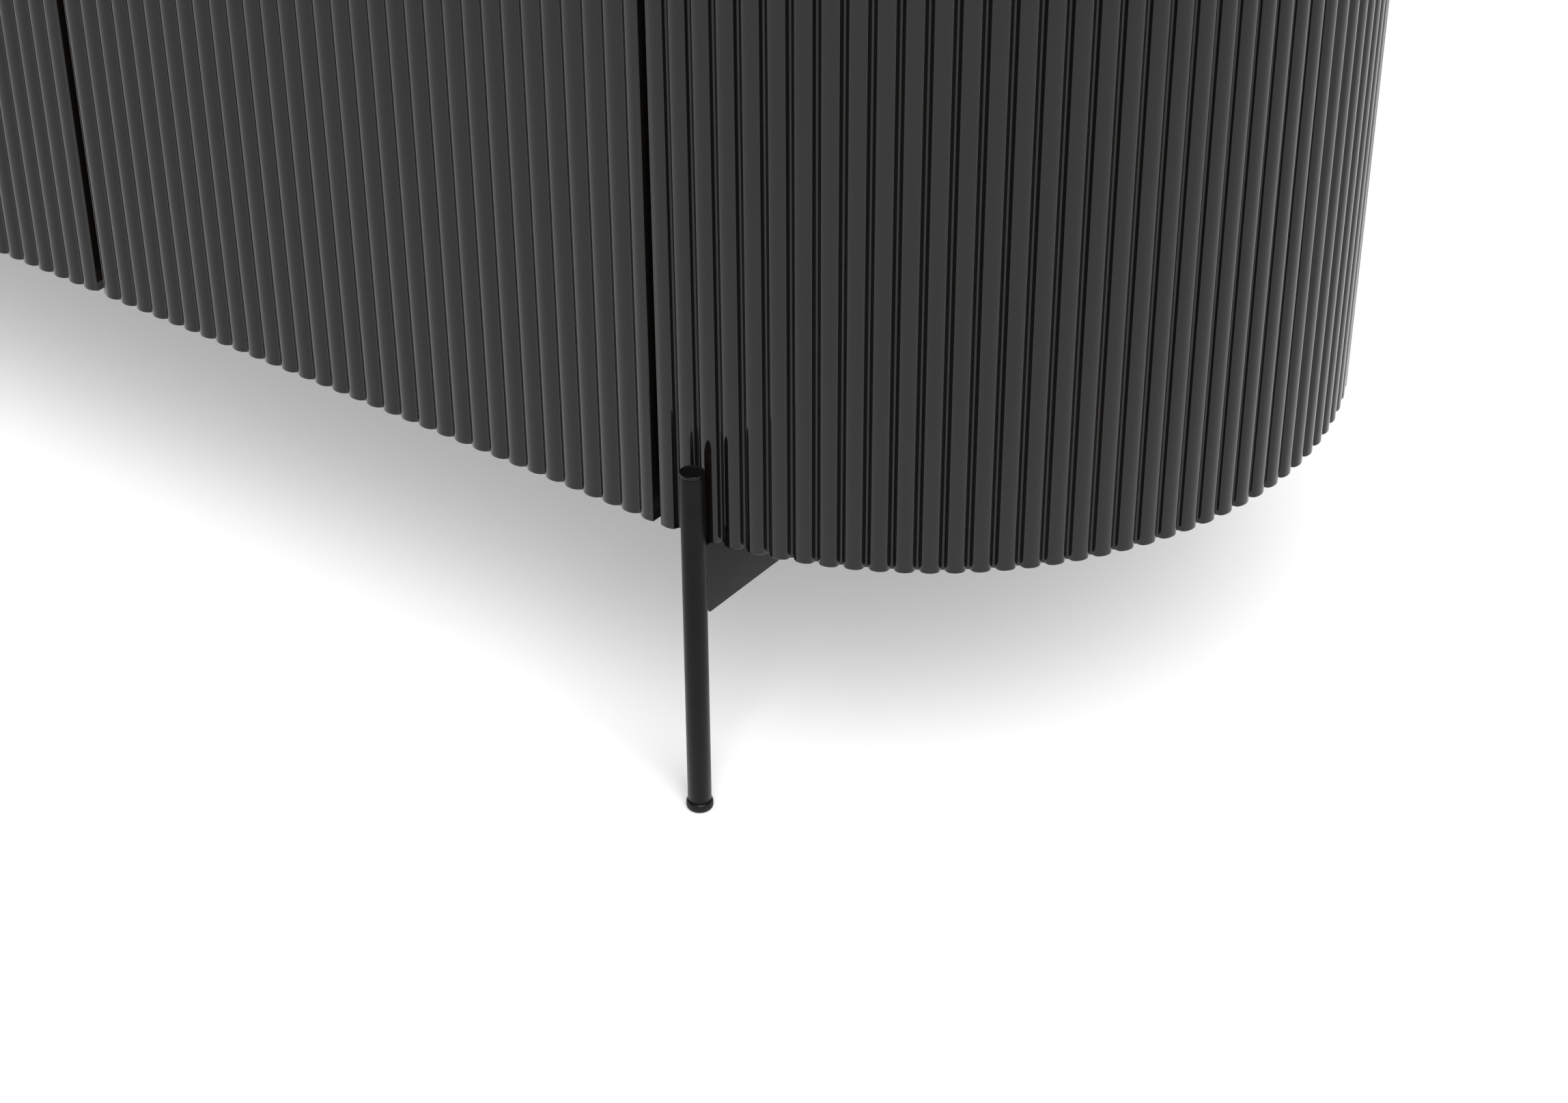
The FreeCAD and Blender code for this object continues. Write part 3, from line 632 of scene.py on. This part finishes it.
def make_cross_rail(side_name):
    """Flat bar on edge, its lower corners nipped off beside the tubes."""
    low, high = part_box(side_name + "_cross_rail")
    middle = (low + high) / 2
    half_width, half_height = (high.x - low.x) / 2, (high.z - low.z) / 2
    reach = (high.y - low.y) / 2
    tube_face = abs(leg_axis(side_name + "_front").y) - LEG_RADIUS
    along = placed((middle.x, middle.y, middle.z), AXES["y"], AXES["z"])
    rings = []
    for y, nip in ((-reach, 1), (-tube_face, 1), (-tube_face + RAIL_CORNER, 0),
                   (tube_face - RAIL_CORNER, 0), (tube_face, 1), (reach, 1)):
        outline = rounded_rectangle(half_width, half_height, RAIL_EDGE)
        rings.append([along(a, b if b > 0 else b + nip * RAIL_CORNER, y) for a, b in outline])
    bar = bmesh.new()
    add_skin(bar, rings)
    new_piece(side_name + "_rail_bar", bar, "cabinet", "black_powder_coat",
              side_name + "_cross_rail")


def make_welds(side_name):
    """Fillet welds that run down both faces of the rail where it meets the tubes."""
    low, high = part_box(side_name + "_cross_rail")
    half_width = (high.x - low.x) / 2
    middle_x = (low.x + high.x) / 2
    contact = math.sqrt(LEG_RADIUS ** 2 - half_width ** 2)
    beads = bmesh.new()
    for end in ("front", "rear"):
        axis_y = leg_axis(side_name + "_" + end).y
        inward = -math.copysign(1, axis_y)
        for face in (-1, 1):
            x = middle_x + face * half_width
            y = axis_y + inward * contact
            bottom, top = low.z + RAIL_CORNER, high.z - 0.5 * MM
            rings = []
            for step in range(WELD_STEPS + 1):
                share = step / WELD_STEPS
                taper = math.sqrt(max(0.04, 1 - (2 * share - 1) ** 8))
                ripple = 1 + 0.10 * math.sin(step * 1.7) + 0.05 * math.sin(step * 0.61 + face)
                radius = WELD_RADIUS * taper * ripple
                z = bottom + (top - bottom) * share
                rings.append([(x + a, y + b, z) for a, b in circle(radius, 12)])
            add_skin(beads, rings)
    new_piece(side_name + "_rail_welds", beads, "cabinet", "black_powder_coat", sharp=60)


for side_name, side in SIDES:
    make_cross_rail(side_name)
    make_welds(side_name)


KNURLS = 30
KNURL_DEPTH = 0.35 * MM
FOOT_HEIGHT = 5.8 * MM
# Rings of the foot from below: share of its radius, height in mm, share of the knurls' depth.
FOOT_RINGS = ((0.55, 0, 0), (0.74, 0.12, 0), (0.87, 0.45, 0), (0.95, 0.95, 0.2), (1.0, 1.6, 1),
              (1.0, 4.4, 1), (0.95, 5.0, 0.2), (0.82, 5.6, 0), (0.7, 5.8, 0))
STEM_RADIUS = 3 * MM
STEM_SUNK = 0.4 * MM
THREAD_PITCH = 1.0 * MM
THREAD_STEPS = 5
THREAD_SEGMENTS = 24
THREAD_DEPTH = 0.3 * MM


def add_knurled_foot(solid, place, radius):
    """Foot that is domed under and knurled round its side."""
    segments = 4 * KNURLS
    rings = []
    for share, height, depth in FOOT_RINGS:
        ring = []
        for step in range(segments):
            angle = 2 * math.pi * step / segments
            groove = KNURL_DEPTH * depth * (0.5 - 0.5 * math.cos(KNURLS * angle))
            length = share * radius - groove
            ring.append(place(length * math.cos(angle), length * math.sin(angle), height * MM))
        rings.append(ring)
    add_skin(solid, rings)


def add_threaded_stem(solid, place, top):
    """Stem with one helical ridge, from just inside the foot up to the top."""
    count = round((top - FOOT_HEIGHT) / THREAD_PITCH * THREAD_STEPS)
    rings = []
    for step in range(count + 1):
        height = FOOT_HEIGHT - STEM_SUNK + (top - FOOT_HEIGHT + STEM_SUNK) * step / count
        ring = []
        for turn in range(THREAD_SEGMENTS):
            share = turn / THREAD_SEGMENTS
            phase = (step / THREAD_STEPS - share) % 1
            length = STEM_RADIUS - THREAD_DEPTH * abs(2 * phase - 1)
            angle = 2 * math.pi * share
            ring.append(place(length * math.cos(angle), length * math.sin(angle), height))
        rings.append(ring)
    add_skin(solid, rings)


def make_glide(leg):
    """Adjustable foot on a threaded stem."""
    node_name = leg + "_glide"
    low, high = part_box(node_name)
    middle = (low + high) / 2
    place = standing((middle.x, middle.y, low.z))
    glide = bmesh.new()
    add_knurled_foot(glide, place, (high.x - low.x) / 2)
    add_threaded_stem(glide, place, high.z - low.z)
    new_piece(leg + "_knurled_glide", glide, node_name, "black_plastic", node_name, sharp=45)


for leg in LEGS:
    make_glide(leg)


# Fittings

PANEL = 18 * MM
PLATE_THICK = 3 * MM
ARM_CLEARANCE = 1.6 * MM
ARM = (62 * MM, 15 * MM, 9 * MM)
ARM_NOSE = (8 * MM, 10 * MM)
LINK = (12 * MM, 10 * MM, 9 * MM)
PLATE = (34 * MM, 50 * MM)
PLATE_SETBACK = 20 * MM
PLATE_SCREW_INSET = 7 * MM
CUP = 17.4 * MM
CUP_WALL = 1.2 * MM
FLANGE = (18 * MM, 60 * MM, 1 * MM)
CUP_SCREW_REACH = 25 * MM
SCREW_HEAD = 3.6 * MM
SCREW_DOME = 1.2 * MM
SCREW_SHANK = 1.8 * MM
SCREW_LENGTH = 8 * MM
RECESS_TOP = 0.56
RECESS_FLOOR = 0.42
RECESS_DEPTH = 1.4 * MM


def cross_ring(place, reach, out):
    """Outline of a cross-shaped recess with four tapered arms."""
    points = []
    for step, (a, b) in enumerate(circle(1, 24)):
        length = reach * (1 if step % 6 in (0, 1, 5) else 0.45)
        points.append(place(a * length, b * length, out))
    return points


def add_screw(solid, place, radius, head, shank=SCREW_SHANK, length=SCREW_LENGTH):
    """Domed head with a cross recess, on a pointed shank; the origin is under the head."""
    profile = [(0.2 * shank, -length), (shank, 1.5 * shank - length), (shank, 0),
               (0.95 * radius, 0), (radius, 0.25 * head), (0.93 * radius, 0.6 * head),
               (0.75 * radius, 0.9 * head), (0.62 * radius, head)]
    rings = [[place(a, b, out) for a, b in circle(length_out, 24)] for length_out, out in profile]
    rings.append(cross_ring(place, RECESS_TOP * radius, head))
    rings.append(cross_ring(place, RECESS_FLOOR * radius, -RECESS_DEPTH))
    add_skin(solid, rings)


def hinges(door):
    """For each hinge of a door: its cup's middle, the face its plate sits on and the way in."""
    side = -1 if door.startswith("left") else 1
    if door.endswith("outer"):
        face, way = side * (seam_x - PANEL), -side
    else:
        face, way = side * PANEL / 2, side
    for middle in hinge_places(door):
        yield middle, face, way


# Section of a cup's wall: radius less the cup's, and distance out from the door's back.
CUP_SECTION = ((-1.5 * MM, 0.1 * MM - CUP_DEPTH), (-0.4 * MM, 0.6 * MM - CUP_DEPTH),
               (0, 1.6 * MM - CUP_DEPTH), (0, 0.8 * MM), (-0.3 * MM, 1.1 * MM),
               (0.2 * MM - CUP_WALL, 1.1 * MM), (-CUP_WALL, 0.8 * MM),
               (-CUP_WALL, 2.4 * MM - CUP_DEPTH), (-2.4 * MM, CUP_WALL - CUP_DEPTH))
CUP_FLOOR_HOLE = 0.3 * CUP
EAR_CORNER = 4.5 * MM
EAR_OVERLAP = 2 * MM
CUP_SCREW_DOME = 0.6 * MM
RIVET_DEPTH = 6 * MM


def facing_back(point):
    """A map for things on a door's back face: up is up and out points into the cabinet."""
    return placed(point, AXES["y"], AXES["z"])


def add_cup(solid, middle):
    """Pressed cup with a closed floor."""
    wall = [(CUP_FLOOR_HOLE, 0.1 * MM - CUP_DEPTH)]
    wall += [(CUP + beyond, out) for beyond, out in CUP_SECTION]
    wall += [(CUP_FLOOR_HOLE, CUP_WALL - CUP_DEPTH)]
    turned(solid, facing_back(middle), wall, 64, looped=True)
    floor = facing_back(middle - (CUP_DEPTH - 0.4 * MM) * AXES["y"])
    turned(solid, floor, [(0.32 * CUP, 0), (0.32 * CUP, 0.5 * MM)], 32)


def add_link(solid, middle):
    """Folded link inside a cup, with its rivets' heads."""
    link = facing_back(middle - (CUP_DEPTH - CUP_WALL) * AXES["y"])
    rounded_block(solid, link, LINK, 1.5 * MM, 1.2 * MM)
    for end in (-1, 1):
        rivet = placed(middle + end * LINK[1] / 2 * AXES["z"] - RIVET_DEPTH * AXES["y"],
                       end * AXES["z"], AXES["y"])
        turned(solid, rivet, [(1.6 * MM, -MM), (1.6 * MM, 0.7 * MM), (1.1 * MM, 1.1 * MM)], 24)


def make_cups(door):
    """The hinge cups of one door, each with an ear above and below for its screws."""
    cups, screws = bmesh.new(), bmesh.new()
    ear_reach = FLANGE[1] / 2 - CUP + EAR_OVERLAP
    for middle in hinge_places(door):
        add_cup(cups, middle)
        for end in (-1, 1):
            ear = facing_back(middle + end * (FLANGE[1] - ear_reach) / 2 * AXES["z"])
            rounded_block(cups, ear, (FLANGE[0], ear_reach, FLANGE[2]), EAR_CORNER, 0.25 * MM)
            seat = middle + end * CUP_SCREW_REACH * AXES["z"] + FLANGE[2] * AXES["y"]
            add_screw(screws, facing_back(seat), SCREW_HEAD, CUP_SCREW_DOME)
        add_link(cups, middle)
    new_piece(door + "_cup_set", cups, door + "_door", "plated_steel", door + "_hinge_cups", sharp=40)
    new_piece(door + "_cup_screw_set", screws, door + "_door", "plated_steel",
              door + "_cup_screws", sharp=40)


PLATE_CORNER = 6 * MM
RIDGE = (PLATE[0] + 4 * MM, 17 * MM, PLATE_THICK + 2 * MM)
ARM_BODY = ARM[2] - 0.7 * MM
ARM_CORNER = 2.5 * MM
# Adjusting screws along an arm: distance from its front and radius of the head.
ARM_SCREWS = ((16 * MM, 2.6 * MM), (34 * MM, 3.0 * MM), (52 * MM, 2.6 * MM))


def make_hinge_mounts():
    """Arms, winged mounting plates and their screws, on the carcass."""
    arms, plates, screws = bmesh.new(), bmesh.new(), bmesh.new()
    for door in DOORS:
        for middle, face, way in hinges(door):
            out = way * AXES["x"]
            seat_x = face + way * PLATE_THICK
            front = middle.y + ARM_CLEARANCE
            plate_middle = front + PLATE_SETBACK + PLATE[0] / 2

            def seat(y, z=0.0, rise=0.0):
                return placed((seat_x + way * rise, y, middle.z + z), out, AXES["z"])

            base = placed((face, plate_middle, middle.z), out, AXES["z"])
            rounded_block(plates, base, (PLATE[0], PLATE[1], PLATE_THICK), PLATE_CORNER, 0.6 * MM)
            rounded_block(plates, base, RIDGE, 2 * MM, 0.8 * MM)
            rounded_block(arms, seat(front + ARM[0] / 2), (ARM[0], ARM[1], ARM_BODY), ARM_CORNER,
                          1.8 * MM)
            nose = way * (middle.x - seat_x) + LINK[0] / 2
            rounded_block(arms, seat(front + ARM_NOSE[0] / 2), (*ARM_NOSE, nose), ARM_CORNER, 1 * MM)
            for along, radius in ARM_SCREWS:
                place = seat(front + along, 0, ARM_BODY - 0.1 * MM)
                add_screw(arms, place, radius, 0.7 * MM, 1.2 * MM, 3 * MM)
            for end in (-1, 1):
                height = end * (PLATE[1] / 2 - PLATE_SCREW_INSET)
                add_screw(screws, seat(plate_middle, height), SCREW_HEAD, SCREW_DOME,
                          SCREW_SHANK, SCREW_LENGTH + PLATE_THICK)
    new_piece("hinge_arm_set", arms, "cabinet", "plated_steel", "hinge_arms", sharp=40)
    new_piece("hinge_plate_set", plates, "cabinet", "plated_steel", "hinge_plates", sharp=40)
    new_piece("hinge_screw_set", screws, "cabinet", "plated_steel", "hinge_screws", sharp=40)


LATCH = (20 * MM, 20 * MM, 60 * MM)
PLUNGER_BORE = 4.1 * MM
PLUNGER_BORE_DEPTH = 46 * MM
# The plunger's rounded nose and the groove behind it: share of its radius, distance from the tip.
NOSE = ((0.45, 0), (0.72, 0.1 * MM), (0.88, 0.4 * MM), (0.97, 0.9 * MM), (1, 1.4 * MM),
        (1, 2.0 * MM), (0.94, 2.1 * MM), (0.94, 2.4 * MM), (1, 2.5 * MM))


def make_plunger(door):
    low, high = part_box(door + "_latch_plunger")
    middle = (low + high) / 2
    radius, length = (high.x - low.x) / 2, high.y - low.y
    profile = [(share * radius, out) for share, out in NOSE]
    profile += [(radius, length - 0.5 * MM), (radius - 0.5 * MM, length)]
    plunger = bmesh.new()
    turned(plunger, facing_back((middle.x, low.y, middle.z)), profile, 48)
    new_piece(door + "_latch_pin", plunger, door + "_latch_plunger", "black_plastic",
              door + "_latch_plunger")


def make_latch_housings():
    """Housings under the top, bored for the plungers."""
    housings, bores = bmesh.new(), bmesh.new()
    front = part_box("latch_housings")[0].y
    for door in DOORS:
        low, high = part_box(door + "_latch_plunger")
        place = facing_back(((low.x + high.x) / 2, front, (low.z + high.z) / 2))
        rounded_block(housings, place, LATCH, 2 * MM, 1 * MM)
        turned(bores, place, [(PLUNGER_BORE, -MM), (PLUNGER_BORE, PLUNGER_BORE_DEPTH)], 64)
    new_piece("latch_housing_set", housings, "cabinet", "black_plastic", "latch_housings",
              sharp=40, carve=bores)


def make_strike(door):
    low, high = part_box(door + "_strike_plate")
    middle = (low + high) / 2
    strike = bmesh.new()
    rounded_block(strike, facing_back((middle.x, low.y, middle.z)),
                  (high.x - low.x, high.z - low.z, high.y - low.y), 3 * MM, 0.3 * MM, 3)
    new_piece(door + "_strike", strike, door + "_door", "plated_steel", door + "_strike_plate")


def make_bumpers(door):
    """Domed pads near the lower edge of a door's back."""
    low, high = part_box(door + "_bumpers")
    radius, thick = (high.z - low.z) / 2, high.y - low.y
    pads = bmesh.new()
    for x in (low.x + radius, high.x - radius):
        pad = facing_back((x, low.y, (low.z + high.z) / 2))
        turned(pads, pad, [(radius, 0), (radius, 0.2 * thick), (0.9 * radius, 0.6 * thick),
                           (0.66 * radius, 0.87 * thick), (0.35 * radius, thick)], 32)
    new_piece(door + "_bumper_pair", pads, door + "_door", "clear_bumper", door + "_bumpers", sharp=70)


PIN = 2.45 * MM
PIN_IN, PIN_OUT = 8 * MM, 7 * MM
PIN_SETBACK = 140 * MM


def make_shelf_pins():
    pins = bmesh.new()
    low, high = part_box("shelf_pins")
    height = (low.z + high.z) / 2
    profile = [(PIN - 0.5 * MM, -PIN_IN), (PIN, 0.5 * MM - PIN_IN), (PIN, PIN_OUT - 1 * MM),
               (0.8 * PIN, PIN_OUT - 0.3 * MM), (0.45 * PIN, PIN_OUT)]
    for side in (-1, 1):
        for face, way in ((side * (seam_x - PANEL), -side), (side * PANEL / 2, side)):
            for y in (-PIN_SETBACK, PIN_SETBACK):
                turned(pins, placed((face, y, height), way * AXES["x"], AXES["z"]), profile, 32)
    new_piece("shelf_pin_set", pins, "cabinet", "plated_steel", "shelf_pins", sharp=60)


BACK_HEAD = 3.8 * MM
BACK_SHANK = 34 * MM
BACK_ROWS = 4


def make_back_screws():
    screws = bmesh.new()
    low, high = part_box("back_screws")
    bottom, top = low.z + BACK_HEAD, high.z - BACK_HEAD
    for x in (low.x + BACK_HEAD, 0, high.x - BACK_HEAD):
        for row in range(BACK_ROWS):
            height = bottom + (top - bottom) * row / (BACK_ROWS - 1)
            place = facing_back((x, high.y - SCREW_DOME, height))
            add_screw(screws, place, BACK_HEAD, SCREW_DOME, SCREW_SHANK, BACK_SHANK)
    new_piece("back_screw_set", screws, "cabinet", "plated_steel", "back_screws", sharp=40)


def make_rail_screws():
    """Three screws under each rail plate, their heads down."""
    screws = bmesh.new()
    low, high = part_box("rail_screws")
    for side in (-1, 1):
        x = side * (high.x - SCREW_HEAD)
        for y in (low.y + SCREW_HEAD, 0, high.y - SCREW_HEAD):
            under = placed((x, y, low.z + SCREW_DOME), -AXES["z"], AXES["y"])
            add_screw(screws, under, SCREW_HEAD, SCREW_DOME, SCREW_SHANK,
                      high.z - low.z - SCREW_DOME)
    new_piece("rail_screw_set", screws, "cabinet", "plated_steel", "rail_screws", sharp=40)


for door in DOORS:
    make_cups(door)
    make_strike(door)
    make_bumpers(door)
make_hinge_mounts()
for door in DOORS:
    make_plunger(door)
make_latch_housings()
make_shelf_pins()
make_back_screws()
make_rail_screws()


# Floor and light

FLOOR_REACH = 30


def add_floor():
    sheet = bmesh.new()
    bmesh.ops.create_grid(sheet, x_segments=8, y_segments=8, size=FLOOR_REACH)
    mesh = bpy.data.meshes.new("studio_floor")
    sheet.to_mesh(mesh)
    sheet.free()
    mesh.materials.append(floor_material())
    floor = bpy.data.objects.new("studio_floor", mesh)
    bpy.context.scene.collection.objects.link(floor)


def add_soft_sun(name, azimuth, elevation, spread, strength):
    """A distant round soft light; azimuth is turned to the right from the front, in degrees."""
    light = bpy.data.lights.new(name, "SUN")
    light.energy = strength
    light.angle = math.radians(spread)
    lamp = bpy.data.objects.new(name, light)
    around, above = math.radians(azimuth), math.radians(elevation)
    towards = Vector((math.sin(around) * math.cos(above), -math.cos(around) * math.cos(above),
                      math.sin(above)))
    lamp.rotation_euler = towards.to_track_quat("Z", "Y").to_euler()
    bpy.context.scene.collection.objects.link(lamp)


def add_world(horizon, above, fade_end):
    """Plain studio surround: bright at the horizon, falling to an even tone higher up."""
    world = bpy.data.worlds.new("studio")
    world.use_nodes = True
    nodes, link = world.node_tree.nodes, world.node_tree.links.new
    direction = node(nodes, "TexCoord")
    split = node(nodes, "SeparateXYZ")
    link(direction.outputs["Generated"], split.inputs["Vector"])
    tone = ramp(nodes, link, split.outputs["Z"], [(0.0, (horizon, horizon, horizon)),
                                                  (fade_end, (above, above, above))])
    link(tone, nodes["Background"].inputs["Color"])
    bpy.context.scene.world = world


add_floor()
add_world(horizon=1.1, above=0.43, fade_end=0.32)
add_soft_sun("key_light", azimuth=48, elevation=48, spread=40, strength=2.6)
bpy.context.scene.view_settings.view_transform = "Standard"
